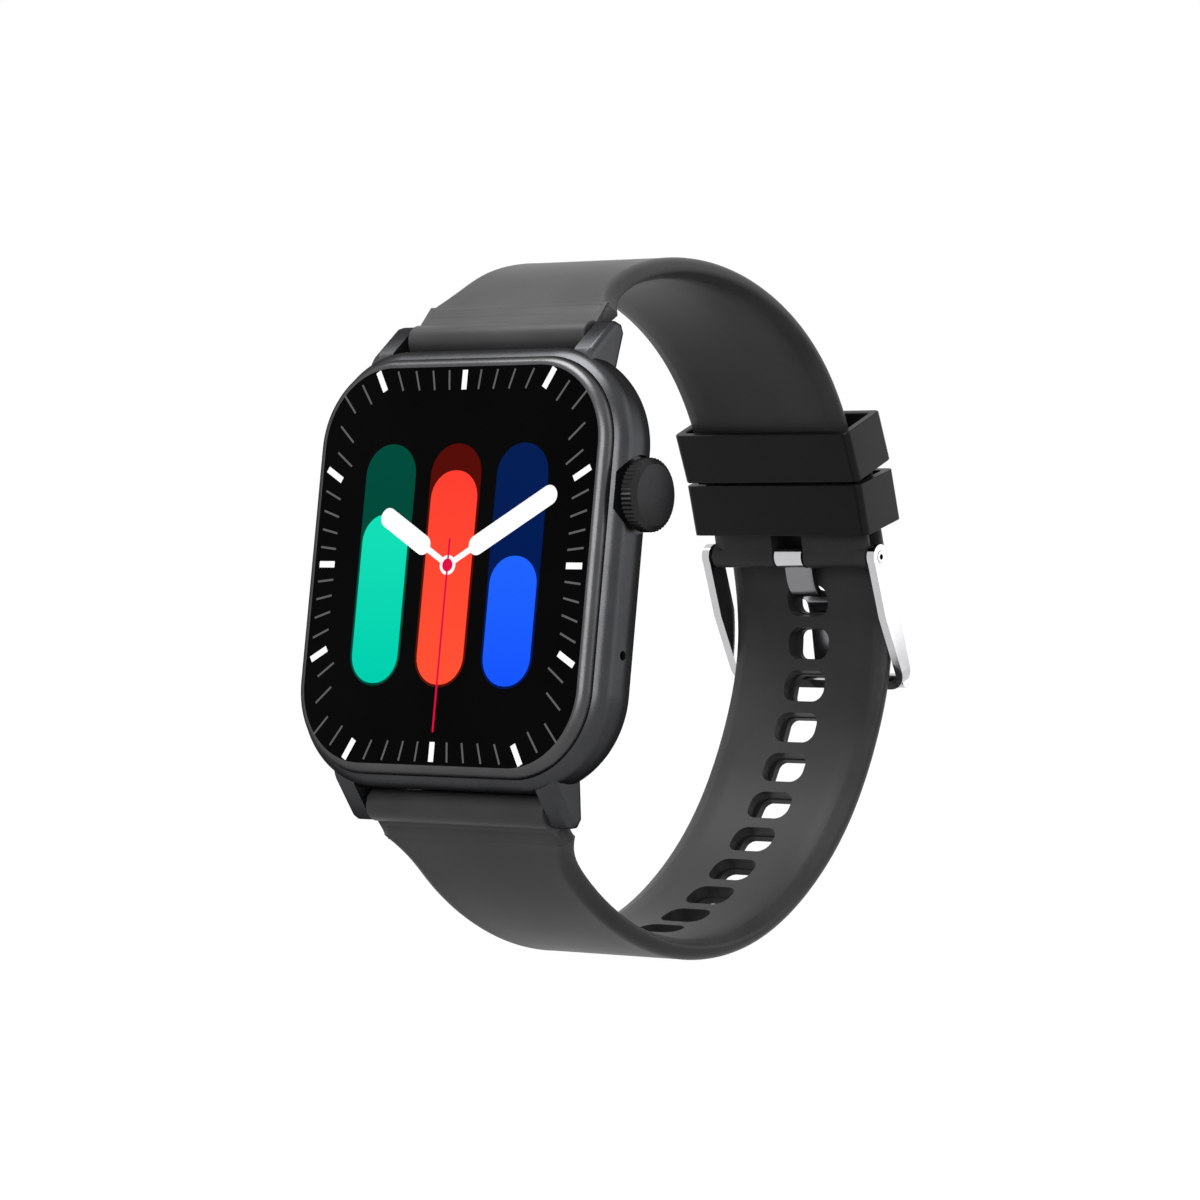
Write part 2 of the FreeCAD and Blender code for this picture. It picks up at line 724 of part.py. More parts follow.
def knob_slot(track, half_width, depth0, depth1):
    """Way for the lever's neck, on the wrist side of a spring bar."""
    point, along, out = track.frame(0)
    middle = V(knob_x + lever_travel / 2, 0, 0) + point
    return along_block(middle, along, out, lever_travel / 2 + half_width, 2 * half_width,
                       -depth1, -depth0)


def bar_tube(track, side):
    y, z = bar_line(side)
    solid = rod(bar_radius, -tube_half, tube_half, y, z)
    bore = rod(bar_radius - bar_wall, -tube_half - 1, tube_half + 1, y, z)
    return solid.cut([bore, knob_slot(track, knob_neck + running_gap, 0, 2 * bar_radius)])


def bar_tip(side):
    """Fixed tip pressed into the crown-side end of the tube."""
    y, z = bar_line(side)
    root = rod(bar_radius - bar_wall, tube_half - tip_root, tube_half, y, z)
    return root.fuse(rod(tip_radius, tube_half, lug_inner + tip_reach, y, z))


def bar_lever(track, side):
    """Sliding tip with the knob that draws it in."""
    y, z = bar_line(side)
    rod_radius = bar_radius - bar_wall - running_gap / 2
    solid = rod(rod_radius, -tube_half, -tube_half + rod_length, y, z)
    solid = solid.fuse(rod(tip_radius, -lug_inner - tip_reach, -tube_half, y, z))
    inward = knob_direction(track)
    middle = V(knob_x, y, z)
    neck = Part.makeCylinder(knob_neck, eye_radius + 0.3, middle, inward)
    knob = Part.makeCylinder(knob_radius, knob_height, middle + inward * (eye_radius + 0.15), inward)
    return solid.fuse([neck, knob])


def bar_spring(side):
    """Compression spring between the two tips, of square wire in straight pieces."""
    y, z = bar_line(side)
    start = -tube_half + rod_length + end_gap
    end = tube_half - tip_root - end_gap - spring_wire
    inner = bar_radius - bar_wall - running_gap / 2 - spring_wire
    rings = []
    for i in range(spring_turns * spring_sides + 1):
        angle = 2 * math.pi * i / spring_sides
        x = start + (end - start) * i / (spring_turns * spring_sides)
        ring = []
        for radius, dx in ((inner, 0), (inner + spring_wire, 0), (inner + spring_wire, spring_wire),
                           (inner, spring_wire)):
            ring.append(V(x + dx, y + radius * math.cos(angle), z + radius * math.sin(angle)))
        rings.append(ring)
    faces = [polygon_face(rings[0]), polygon_face(rings[-1])]
    for first, second in zip(rings, rings[1:]):
        for i in range(4):
            j = (i + 1) % 4
            faces.append(polygon_face([first[i], first[j], second[j]]))
            faces.append(polygon_face([first[i], second[j], second[i]]))
    return Part.Solid(Part.Shell(faces))


def polygon_face(corners):
    return Part.Face(Part.makePolygon(corners + corners[:1]))


# ---- straps ------------------------------------------------------------------------------------------
def shoulder_stations(last):
    """Stations from the wide shoulder behind the lugs to the plain width."""
    taper = [(shoulder_start, 1.0), (shoulder_start + 1.2, 0.62), (shoulder_start + 2.8, 0.28),
             (shoulder_start + 6.0, 0.12), (shoulder_start + 13.0, 0.08), (shoulder_start + 22.0, 0.04)]
    spread = shoulder_half_width - strap_half_width
    stations = [(d, strap_half_width + spread * share, strap_thickness) for d, share in taper]
    plain_start = shoulder_start + shoulder_length
    count = max(2, round((last - plain_start) / station_step))
    for i in range(count + 1):
        stations.append((plain_start + (last - plain_start) * i / count, strap_half_width,
                         strap_thickness))
    return stations


def strap_root(track, side):
    """Rolled end of a strap between the lugs, with the spring bar bore."""
    y, z = bar_line(side)
    point, along, out = track.frame(0)
    neck_length = shoulder_start + 0.5
    eye = rod(eye_radius, -neck_half_width, neck_half_width, y, z)
    neck = along_block(point + along * (neck_length / 2), along, out, neck_half_width, neck_length,
                       -neck_thickness / 2, neck_thickness / 2)
    return eye.fuse(neck)


def bar_cuts(track, side):
    y, z = bar_line(side)
    bore = rod(bar_radius, -neck_half_width - 1, neck_half_width + 1, y, z)
    return [bore, knob_slot(track, knob_radius + 0.15, 0, 3 * eye_radius)]


def buckle_strap():
    """Short strap, from the twelve o'clock spring bar to the buckle pin."""
    solid = strap_loft(upper, shoulder_stations(upper.length))
    solid = solid.fuse([strap_root(upper, 1),
                        rod(pin_eye_radius, -strap_half_width, strap_half_width, *buckle_pin)])
    half_notch = tongue_width / 2 + notch_gap
    notch = along_block(pin - upper_end * ((notch_length - 3) / 2), upper_end, pin_out,
                        half_notch, notch_length + 3, -4, 4)
    bore = rod(pin_radius, -strap_half_width - 1, strap_half_width + 1, *buckle_pin)
    return solid.cut(bar_cuts(upper, 1) + [bore, notch])


def tail_stations():
    """Plain width to the rounded tip."""
    last = lower.length
    round_length = 4.0
    stations = shoulder_stations(last - round_length)
    for share in (0.45, 0.75, 0.93, 1.0):
        half = strap_half_width * (0.45 + 0.55 * math.sqrt(1 - share ** 2))
        stations.append((last - round_length * (1 - share), half, strap_thickness))
    return stations


def tail_strap():
    """Long strap with the holes, from the six o'clock spring bar to the tip above the loops."""
    solid = strap_loft(lower, tail_stations()).fuse(strap_root(lower, -1))
    return solid.cut(bar_cuts(lower, -1) + [strap_hole(d) for d in hole_places])


def strap_hole(distance):
    """Rounded hole, smaller on the outside."""
    half_x, length = hole_size[0] / 2, hole_size[1]
    step_x, step_y = hole_step
    inside = rounded_bar(half_x, length, hole_corner, -strap_thickness, strap_thickness / 2 - hole_step_depth)
    outside = rounded_bar(half_x - step_x, length - 2 * step_y, hole_corner - step_x,
                          -strap_thickness, strap_thickness)
    return placed(inside.fuse(outside), *lower.frame(distance))


# ---- buckle ------------------------------------------------------------------------------------------
def buckle_pin_rod():
    """Tubular pin through the strap end and the ears."""
    reach = ear_outer + 0.05
    solid = rod(pin_radius, -reach, reach, *buckle_pin)
    return solid.cut(rod(pin_bore, -reach - 1, reach + 1, *buckle_pin))


def frame_profile():
    """Side view of the frame: an even plate that narrows to the far bar."""
    half = ear_width / 2
    low, high = far_bar_offset - far_bar_radius, far_bar_offset + far_bar_radius
    reach = buckle_length + far_bar_radius + 1
    outline = [V(0, -half, -half), V(0, 0.45 * buckle_length, -half), V(0, reach, low),
               V(0, reach, high), V(0, 0.45 * buckle_length, half), V(0, -half, half)]
    return prism(Part.makePolygon(outline + outline[:1]), -ear_outer - 1, ear_outer + 1)


def buckle_frame():
    """Two flat ears and a far bar, bent from one strip."""
    half = ear_width / 2
    reach = buckle_length + far_bar_radius
    outer = rounded_bar(ear_outer, 2 * reach, frame_corner, -half, half)
    inner = rounded_bar(ear_inner, 2 * (reach - ear_thickness), frame_corner - ear_thickness,
                        -half - 1, half + 1)
    strip = outer.cut(inner)
    behind = Part.makeBox(4 * ear_outer, 4 * reach, 4 * half, V(-2 * ear_outer, -4 * reach, -2 * half))
    under_bar = Part.makeBox(2 * ear_inner, 2 * reach, 4 * half,
                             V(-ear_inner, 1, far_bar_offset - far_bar_radius - 4 * half))
    strip = strip.cut([behind, under_bar]).common(frame_profile())
    bar_half = ear_inner + ear_thickness / 2
    bar = rod(far_bar_radius, -bar_half, bar_half, buckle_length, far_bar_offset)
    heads = []
    for side in (-1, 1):
        x0, x1 = sorted((side * ear_inner, side * ear_outer))
        heads.append(rod(ear_head_radius, x0, x1, 0, 0))
    solid = strip.fuse([bar] + heads)
    solid = solid.cut(rod(pin_radius + running_gap, -ear_outer - 1, ear_outer + 1, 0, 0))
    return placed(solid, pin, frame_along, frame_out)


def buckle_tongue():
    """Eye on the pin and a blade through the first hole that rests on the far bar."""
    hole, tail_along, tail_out = lower.frame(hole_places[0])
    clear = tail_out * (strap_thickness / 2 + 0.7)
    slant = tail_along * 0.9
    bar_top = pin + frame_along * buckle_length + frame_out * (
        far_bar_offset + far_bar_radius + tongue_rest_gap + tongue_thickness / 2)
    tip = bar_top + frame_along * tongue_tip - frame_out * 0.3
    points = [pin + frame_along * 0.9 + frame_out * 0.45, hole - clear + slant, hole,
              hole + clear - slant, bar_top, tip]
    blade = ribbon(points, tongue_thickness, tongue_width / 2)
    eye_outer = pin_radius + running_gap + tongue_eye_wall
    eye = rod(eye_outer, -tongue_width / 2, tongue_width / 2, *buckle_pin)
    bore = rod(pin_radius + running_gap, -tongue_width, tongue_width, *buckle_pin)
    return blade.fuse(eye).cut(bore)


def strap_loop(index):
    """Free loop round both straps, index 0 next to the buckle."""
    distance = upper.length - loop_start - loop_length / 2 - index * (loop_length + loop_spacing)
    low = -strap_thickness / 2 - loop_gap
    high = strap_thickness / 2 + stack_step + loop_gap
    outer_half = loop_inner_half + loop_side_wall
    outer = Part.makeBox(2 * outer_half, loop_length, high - low + 2 * loop_wall,
                         V(-outer_half, -loop_length / 2, low - loop_wall))
    outer = outer.makeFillet(loop_corner, long_edges(outer, V(0, 1, 0)))
    inner = Part.makeBox(2 * loop_inner_half, 2 * loop_length, high - low,
                         V(-loop_inner_half, -loop_length, low))
    inner = inner.makeFillet(loop_corner / 2, long_edges(inner, V(0, 1, 0)))
    return placed(outer.cut(inner), *upper.frame(distance))


# ---- assembly ----------------------------------------------------------------------------------------
def nodes():
    return {
        "case": case(), "cover_glass": cover_glass(), "glass_adhesive": glass_adhesive(),
        "display_panel": display_panel(), "chassis": chassis(), "battery": battery(),
        "main_board": main_board(), "shield_can": shield_can(),
        "vibration_motor": vibration_motor(), "speaker": speaker(), "microphone": microphone(),
        "back_gasket": back_gasket(), "back_cover": back_cover(), "sensor_lens": sensor_lens(),
        "sensor_board": sensor_board(), "charging_contacts": charging_contacts(),
        "back_screws": back_screws(), "crown_tube": crown_tube(), "crown_switch": crown_switch(),
        "crown_plate": crown_plate(), "crown_cap": crown_cap(), "crown_stem": crown_stem(),
        "crown_seal": crown_seal(), "crown_clip": crown_clip(),
        "buckle_strap": buckle_strap(), "upper_bar_tube": bar_tube(upper, 1),
        "upper_bar_tip": bar_tip(1), "upper_bar_spring": bar_spring(1),
        "upper_bar_lever": bar_lever(upper, 1),
        "tail_strap": tail_strap(), "lower_bar_tube": bar_tube(lower, -1),
        "lower_bar_tip": bar_tip(-1), "lower_bar_spring": bar_spring(-1),
        "lower_bar_lever": bar_lever(lower, -1),
        "buckle_pin": buckle_pin_rod(), "buckle_frame": buckle_frame(),
        "buckle_tongue": buckle_tongue(), "lower_loop": strap_loop(0), "upper_loop": strap_loop(1),
    }


def worn(shapes):
    """Lean the watch back about the middle of the wrist, which becomes the origin."""
    turn = FreeCAD.Placement(V(), FreeCAD.Rotation(V(1, 0, 0), -lean))
    move = FreeCAD.Placement(V(0, -wrist_middle, 0), FreeCAD.Rotation())
    placed_shapes = {}
    for name, shape in shapes.items():
        moved = shape.copy()
        moved.Placement = turn.multiply(move).multiply(moved.Placement)
        placed_shapes[name] = moved
    return placed_shapes


if __name__ == "__main__":
    os.makedirs("parts", exist_ok=True)
    for name, shape in worn(nodes()).items():
        shape.exportStep("parts/" + name + ".step")
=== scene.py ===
"""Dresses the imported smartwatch.

Gives the solids smooth skins and finishes, adds the lit dial, and sets up a white studio.
"""

import json
import math

import bmesh
import bpy
from mathutils import Matrix, Vector


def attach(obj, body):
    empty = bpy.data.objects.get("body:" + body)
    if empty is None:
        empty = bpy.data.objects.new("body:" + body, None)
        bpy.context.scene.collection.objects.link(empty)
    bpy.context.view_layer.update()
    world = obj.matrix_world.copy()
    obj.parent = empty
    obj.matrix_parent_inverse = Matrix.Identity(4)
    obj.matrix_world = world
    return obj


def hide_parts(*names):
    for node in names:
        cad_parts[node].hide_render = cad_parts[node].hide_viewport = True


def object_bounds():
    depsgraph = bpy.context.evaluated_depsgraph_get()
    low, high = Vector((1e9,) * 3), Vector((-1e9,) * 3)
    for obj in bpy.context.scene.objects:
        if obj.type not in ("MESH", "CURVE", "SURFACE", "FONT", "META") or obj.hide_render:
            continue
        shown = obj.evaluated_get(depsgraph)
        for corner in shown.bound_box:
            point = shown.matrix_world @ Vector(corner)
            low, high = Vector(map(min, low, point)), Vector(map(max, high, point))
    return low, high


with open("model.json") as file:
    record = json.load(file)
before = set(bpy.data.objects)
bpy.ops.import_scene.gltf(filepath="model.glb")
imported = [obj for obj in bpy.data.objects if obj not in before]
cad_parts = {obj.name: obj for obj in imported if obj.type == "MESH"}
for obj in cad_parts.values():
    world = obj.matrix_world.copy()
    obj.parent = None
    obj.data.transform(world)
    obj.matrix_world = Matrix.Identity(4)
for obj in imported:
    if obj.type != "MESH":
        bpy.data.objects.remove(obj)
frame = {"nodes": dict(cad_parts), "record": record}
bpy.ops.object.select_all(action="DESELECT")
cad_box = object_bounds()

MM = 0.001
weld = 2e-6                                  # metres; points closer than this are one

# ---- the dial and how it stands ----------------------------------------------------------
lean = math.radians(8.08)                    # the watch leans back by this
mounts = {mount["name"]: mount for mount in frame["record"]["mounts"]}
dial_centre = Vector(mounts["glass_face"]["pos_m"])
dial_front = Vector(mounts["glass_face"]["axis"])
picture_lift = 0.012                         # the lit picture stands this far off the glass, mm
picture_thickness = 0.012
flat_front = 0.9998                          # cosine to the dial's front that still counts as flat; steeper faces of the glass get the painted highlight

# ---- camera ------------------------------------------------------------------------------
camera_from_dial = Vector((288.5, -349.8, 3.8)) * MM
camera_forward = Vector((-0.6113, 0.7912, -0.0157))
lens_length = 143.0


# ---- materials ---------------------------------------------------------------------------
noise_detail = 3.0
graded_range = (0.3, 0.7)                    # noise seldom leaves the middle of 0 to 1
tinted_range = (0.35, 0.65)
rough_spread = 0.03
glow_reach = 12.0                            # mm above and below the dial's middle
unlit_panel = ((0.0004, 0.0004, 0.0005), (0.0008, 0.0008, 0.001))


def new_material(name):
    """Node material with its shader, and a Texture Coordinate node to read Object from."""
    material = bpy.data.materials.new(name)
    material.use_nodes = True
    shader = material.node_tree.nodes["Principled BSDF"]
    where = material.node_tree.nodes.new("ShaderNodeTexCoord")
    return material, shader, where


def speckle(material, where, size, stretch=(1, 1, 1)):
    """Noise of a grain size in metres, read in the object's own coordinates."""
    nodes, links = material.node_tree.nodes, material.node_tree.links
    mapping = nodes.new("ShaderNodeMapping")
    mapping.inputs["Scale"].default_value = stretch
    noise = nodes.new("ShaderNodeTexNoise")
    noise.inputs["Scale"].default_value = 1 / size
    noise.inputs["Detail"].default_value = noise_detail
    links.new(where.outputs["Object"], mapping.inputs["Vector"])
    links.new(mapping.outputs["Vector"], noise.inputs["Vector"])
    return noise.outputs["Fac"]


def graded(material, value, low, high, target):
    """Maps a 0..1 value to a range and feeds it to a shader socket."""
    nodes, links = material.node_tree.nodes, material.node_tree.links
    ramp = nodes.new("ShaderNodeMapRange")
    ramp.inputs["From Min"].default_value = graded_range[0]
    ramp.inputs["From Max"].default_value = graded_range[1]
    ramp.inputs["To Min"].default_value = low
    ramp.inputs["To Max"].default_value = high
    links.new(value, ramp.inputs["Value"])
    links.new(ramp.outputs["Result"], target)


def tinted(material, value, dark, light, target):
    """Blends two colours by a 0..1 value."""
    nodes, links = material.node_tree.nodes, material.node_tree.links
    ramp = nodes.new("ShaderNodeValToRGB")
    ramp.color_ramp.elements[0].position = tinted_range[0]
    ramp.color_ramp.elements[1].position = tinted_range[1]
    ramp.color_ramp.elements[0].color = (*dark, 1)
    ramp.color_ramp.elements[1].color = (*light, 1)
    links.new(value, ramp.inputs["Fac"])
    links.new(ramp.outputs["Color"], target)


def shade(tone, factor):
    """A darker or lighter version of a colour."""
    return tuple(factor * channel for channel in tone)


def bumped(material, shader, value, depth, strength):
    """Fine relief of a depth in metres."""
    nodes, links = material.node_tree.nodes, material.node_tree.links
    bump = nodes.new("ShaderNodeBump")
    bump.inputs["Distance"].default_value = depth
    bump.inputs["Strength"].default_value = strength
    links.new(value, bump.inputs["Height"])
    links.new(bump.outputs["Normal"], shader.inputs["Normal"])


def silicone(name, tone, rough, specular):
    """Matt moulded silicone: soft sheen, very fine pebbled skin."""
    material, shader, where = new_material(name)
    cloud = speckle(material, where, size=0.009)
    tinted(material, cloud, shade(tone, 0.88), shade(tone, 1.12), shader.inputs["Base Color"])
    graded(material, cloud, rough - rough_spread, rough + rough_spread,
           shader.inputs["Roughness"])
    pebbles = speckle(material, where, size=0.00012)
    bumped(material, shader, pebbles, depth=0.00001, strength=0.25)
    shader.inputs["Specular IOR Level"].default_value = specular
    shader.inputs["Sheen Weight"].default_value = 0.01
    shader.inputs["Sheen Roughness"].default_value = 0.4
    return material


def coated_metal(name, tone, rough):
    """Dark anodised or coated metal with a fine blasted grain."""
    material, shader, where = new_material(name)
    cloud = speckle(material, where, size=0.006)
    tinted(material, cloud, shade(tone, 0.92), shade(tone, 1.08), shader.inputs["Base Color"])
    patches = speckle(material, where, size=0.00025)
    graded(material, patches, rough - rough_spread, rough + rough_spread,
           shader.inputs["Roughness"])
    grain = speckle(material, where, size=0.00008)
    bumped(material, shader, grain, depth=0.000004, strength=0.2)
    shader.inputs["Metallic"].default_value = 0.85
    shader.inputs["Specular IOR Level"].default_value = 0.1
    shader.inputs["Specular Tint"].default_value = (0.1, 0.1, 0.1, 1)
    return material


def polished_steel(name, tone, rough):
    """Polished steel with faint handling marks."""
    material, shader, where = new_material(name)
    cloud = speckle(material, where, size=0.003)
    tinted(material, cloud, shade(tone, 0.95), tone, shader.inputs["Base Color"])
    marks = speckle(material, where, size=0.0008, stretch=(6, 1, 1))
    graded(material, marks, rough, rough + 0.05, shader.inputs["Roughness"])
    shader.inputs["Metallic"].default_value = 1.0
    return material


def plain_plastic(name, dark, light, rough, grain=0.0008):
    """Moulded or printed piece of one colour, a little cloudy."""
    material, shader, where = new_material(name)
    cloud = speckle(material, where, grain)
    tinted(material, cloud, dark, light, shader.inputs["Base Color"])
    graded(material, cloud, rough, rough + 0.08, shader.inputs["Roughness"])
    return material


def black_glass(name, specular):
    """Polished glass with the unlit panel bonded under it."""
    material, shader, where = new_material(name)
    cloud = speckle(material, where, size=0.01)
    tinted(material, cloud, *unlit_panel, shader.inputs["Base Color"])
    smears = speckle(material, where, size=0.02)
    graded(material, smears, 0.03, 0.06, shader.inputs["Roughness"])
    shader.inputs["Specular IOR Level"].default_value = specular
    return material


def smoked_glass(name):
    """Dark lens over the sensors."""
    material, shader, where = new_material(name)
    cloud = speckle(material, where, size=0.004)
    tinted(material, cloud, (0.006, 0.006, 0.008), (0.012, 0.012, 0.015),
           shader.inputs["Base Color"])
    shader.inputs["Roughness"].default_value = 0.2
    shader.inputs["Specular IOR Level"].default_value = 0.3
    return material


def screen_black(name):
    """Panel that is switched on and shows black."""
    material, shader, where = new_material(name)
    cloud = speckle(material, where, size=0.01)
    tinted(material, cloud, *unlit_panel, shader.inputs["Base Color"])
    shader.inputs["Roughness"].default_value = 0.5
    shader.inputs["Specular IOR Level"].default_value = 0.0
    return material


def lit(name, low, high):
    """Lit part of the picture: its colour runs from low to high up the dial."""
    material, shader, where = new_material(name)
    nodes, links = material.node_tree.nodes, material.node_tree.links
    split = nodes.new("ShaderNodeSeparateXYZ")
    links.new(where.outputs["Object"], split.inputs["Vector"])
    rise = nodes.new("ShaderNodeMapRange")
    rise.inputs["From Min"].default_value = dial_centre.z - glow_reach * MM
    rise.inputs["From Max"].default_value = dial_centre.z + glow_reach * MM
    links.new(split.outputs["Z"], rise.inputs["Value"])
    ramp = nodes.new("ShaderNodeValToRGB")
    ramp.color_ramp.elements[0].color = (*low, 1)
    ramp.color_ramp.elements[1].color = (*high, 1)
    links.new(rise.outputs["Result"], ramp.inputs["Fac"])
    links.new(ramp.outputs["Color"], shader.inputs["Emission Color"])
    shader.inputs["Base Color"].default_value = (0, 0, 0, 1)
    shader.inputs["Emission Strength"].default_value = 1.0
    shader.inputs["Specular IOR Level"].default_value = 0.0
    return material


finishes = {
    "case": coated_metal("graphite_case", (0.050, 0.051, 0.053), 0.3),
    "crown": coated_metal("graphite_crown", (0.028, 0.028, 0.029), 0.3),
    "strap": silicone("black_silicone", (0.034, 0.034, 0.035), 0.42, 0.12),
    # painted shade: the loops get a much darker copy of the strap's silicone, standing in for the
    # shade on their fronts
    "loop": silicone("loop_silicone_painted_shade", (0.0065, 0.0065, 0.007), 0.34, 0.11),
    "buckle": polished_steel("buckle_steel", (0.55, 0.55, 0.56), 0.12),
    # painted shade: the tongue's blade gets a darker copy of the buckle steel, standing in for the
    # shade it lies in and the dark parts it reflects
    "blade": polished_steel("tongue_painted_shade_steel", (0.22, 0.22, 0.23), 0.22),
    "steel": polished_steel("plain_steel", (0.55, 0.55, 0.56), 0.28),
    "gold": polished_steel("gold_plate", (0.83, 0.62, 0.28), 0.22),
    "glass": black_glass("dark_glass", 0.02),
    # painted highlight: the glass's rounded edge gets this lighter metal in place of the light on
    # the glass, and its own gloss also reflects the lamps
    "glass_edge": coated_metal("glass_edge_painted_highlight", (0.072, 0.072, 0.074), 0.3),
    "lens": smoked_glass("sensor_glass"),
    "screen": screen_black("black_screen"),
    "glue": plain_plastic("black_adhesive", (0.004, 0.004, 0.004), (0.007, 0.007, 0.007), 0.6),
    "back": plain_plastic("black_back_cover", (0.012, 0.012, 0.013), (0.018, 0.018, 0.02),
                          0.3, grain=0.004),
    "board": plain_plastic("green_board", (0.006, 0.05, 0.022), (0.01, 0.08, 0.035), 0.4),
    "cell": plain_plastic("grey_cell_wrap", (0.06, 0.06, 0.065), (0.09, 0.09, 0.1),
                          0.45, grain=0.003),
    "module": plain_plastic("black_module", (0.015, 0.015, 0.016), (0.025, 0.025, 0.027), 0.5),
}
node_finish = {
    "case": "case", "cover_glass": "glass", "glass_adhesive": "glue", "display_panel": "screen",
    "chassis": "steel", "battery": "cell", "main_board": "board", "shield_can": "steel",
    "vibration_motor": "steel", "speaker": "module", "microphone": "module", "back_gasket": "glue",
    "back_cover": "back", "sensor_lens": "lens", "sensor_board": "board",
    "charging_contacts": "gold", "back_screws": "steel", "crown_tube": "steel",
    "crown_switch": "module", "crown_plate": "steel", "crown_cap": "crown", "crown_stem": "steel",
    "crown_seal": "glue", "crown_clip": "steel", "buckle_strap": "strap",
    "upper_bar_tube": "steel", "upper_bar_tip": "steel", "upper_bar_spring": "steel",
    "upper_bar_lever": "steel", "tail_strap": "strap", "lower_bar_tube": "steel",
    "lower_bar_tip": "steel", "lower_bar_spring": "steel", "lower_bar_lever": "steel",
    "buckle_pin": "buckle", "buckle_frame": "buckle", "buckle_tongue": "buckle",
    "lower_loop": "loop", "upper_loop": "loop",
}
# solids whose rounded faces catch the light get a smooth skin, which breaks at this angle in
# degrees
smooth_nodes = {
    "case": 30, "cover_glass": 30, "crown_cap": 20, "buckle_strap": 38, "tail_strap": 38,
    "buckle_pin": 40, "buckle_frame": 30, "lower_loop": 30, "upper_loop": 30,
    "back_cover": 30, "sensor_lens": 30, "charging_contacts": 40, "upper_bar_lever": 40,
    "lower_bar_lever": 40, "back_screws": 40,
}
# sharp edges that are broken by this much, in metres
soft_edges = {"lower_loop": 0.00016, "upper_loop": 0.00016, "buckle_frame": 0.00008}


def body_of_node(node):
    """The moving body that a solid belongs to."""
    groups = frame["record"]["behaviour"]["bodies"]
    return next(body for body, members in groups.items() if node in members)


def dress_nodes():
    """Gives every solid its finish, and a smooth skin where its rounded faces show."""
    for node, finish in node_finish.items():
        solid = frame["nodes"][node]
        solid.data.materials.clear()
        solid.data.materials.append(finishes[finish])
        if node in smooth_nodes:
            skin = smooth_skin(node, solid, math.radians(smooth_nodes[node]))
            if node == "cover_glass":
                paint_glass_edge_highlight(skin)
            if node in soft_edges:
                soften_edges(skin, soft_edges[node])


def smooth_skin(node, solid, angle):
    """Copy of a solid's surface with its triangles joined and shaded smooth below an angle."""
    skin = bpy.data.objects.new(node + "_skin", solid.data.copy())
    bpy.context.collection.objects.link(skin)
    choose(skin)
    bpy.ops.object.mode_set(mode="EDIT")
    bpy.ops.mesh.select_all(action="SELECT")
    bpy.ops.mesh.remove_doubles(threshold=weld)
    bpy.ops.mesh.customdata_custom_splitnormals_clear()
    bpy.ops.object.mode_set(mode="OBJECT")
    bpy.ops.object.shade_smooth_by_angle(angle=angle)
    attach(skin, body_of_node(node))
    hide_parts(node)
    return skin


def soften_edges(skin, width):
    """Breaks the sharp edges of a moulded or polished piece."""
    choose(skin)
    bpy.ops.object.mode_set(mode="EDIT")
    bpy.ops.mesh.select_all(action="SELECT")
    bpy.ops.mesh.dissolve_limited(angle_limit=math.radians(0.5))
    bpy.ops.object.mode_set(mode="OBJECT")
    bevel = skin.modifiers.new("edge", "BEVEL")
    bevel.limit_method = "ANGLE"
    bevel.angle_limit = math.radians(40)
    bevel.width = width
    bevel.segments = 3
    bpy.ops.object.modifier_apply(modifier="edge")
    bpy.ops.object.shade_smooth_by_angle(angle=math.radians(35))


def paint_glass_edge_highlight(skin):
    """Painted highlight: the glass's rounded edge gets a lighter metal finish than its black
    front, standing in for the light the edge catches; the lamps and the world also really reflect
    in it.
    """
    skin.data.materials.append(finishes["glass_edge"])
    for face in skin.data.polygons:
        if face.normal.dot(dial_front) < flat_front:
            face.material_index = 1


# ---- modelling helpers -------------------------------------------------------------------
same_place = 1e-6               # tolerances, in mm
at_the_end = 1e-4
smooth_angle = math.radians(32)              # strips and lofts are shaded smooth below this


def choose(*objects):
    """Selects these objects alone and makes the first one active."""
    bpy.ops.object.select_all(action="DESELECT")
    for obj in objects:
        obj.select_set(True)
    bpy.context.view_layer.objects.active = objects[0]


def bar(name, width, height, corner, segments=8):
    """Flat bar in the dial's plane: width along X and height along Z in mm, rounded corners."""
    bpy.ops.mesh.primitive_cube_add(size=1)
    obj = bpy.context.object
    obj.name = name
    obj.scale = (width, picture_thickness, height)
    bpy.ops.object.transform_apply(location=False, rotation=False, scale=True)
    bpy.ops.object.mode_set(mode="EDIT")
    select_edges_along_y(obj)
    bpy.ops.mesh.bevel(offset=corner, segments=segments, affect="EDGES")
    bpy.ops.object.mode_set(mode="OBJECT")
    return obj


def select_edges_along_y(obj):
    """Edges that run through a flat bar's thickness."""
    bpy.ops.mesh.select_all(action="DESELECT")
    bpy.ops.mesh.select_mode(type="EDGE")
    mesh = bmesh.from_edit_mesh(obj.data)
    for edge in mesh.edges:
        a, b = (vert.co for vert in edge.verts)
        edge.select = abs(a.x - b.x) < same_place and abs(a.z - b.z) < same_place
    bmesh.update_edit_mesh(obj.data)


def turn_and_move(obj, angle, x, z, lift=0.0):
    """Turns a piece clockwise as seen on the dial, then moves it; lift is towards the viewer."""
    obj.matrix_world = Matrix.Translation((x, -lift, z)) @ Matrix.Rotation(angle, 4, "Y")
    choose(obj)
    bpy.ops.object.transform_apply(location=True, rotation=True, scale=True)


def joined(name, parts):
    """Makes one object of several."""
    choose(*parts)
    if len(parts) > 1:
        bpy.ops.object.join()
    parts[0].name = name
    parts[0].data.name = name
    return parts[0]


def onto_dial(obj, material, lift):
    """Takes a piece drawn in mm about the dial's middle to its place on the glass."""
    turn_and_move(obj, 0, 0, 0, picture_lift + lift)
    into_watch(obj, "case", material)


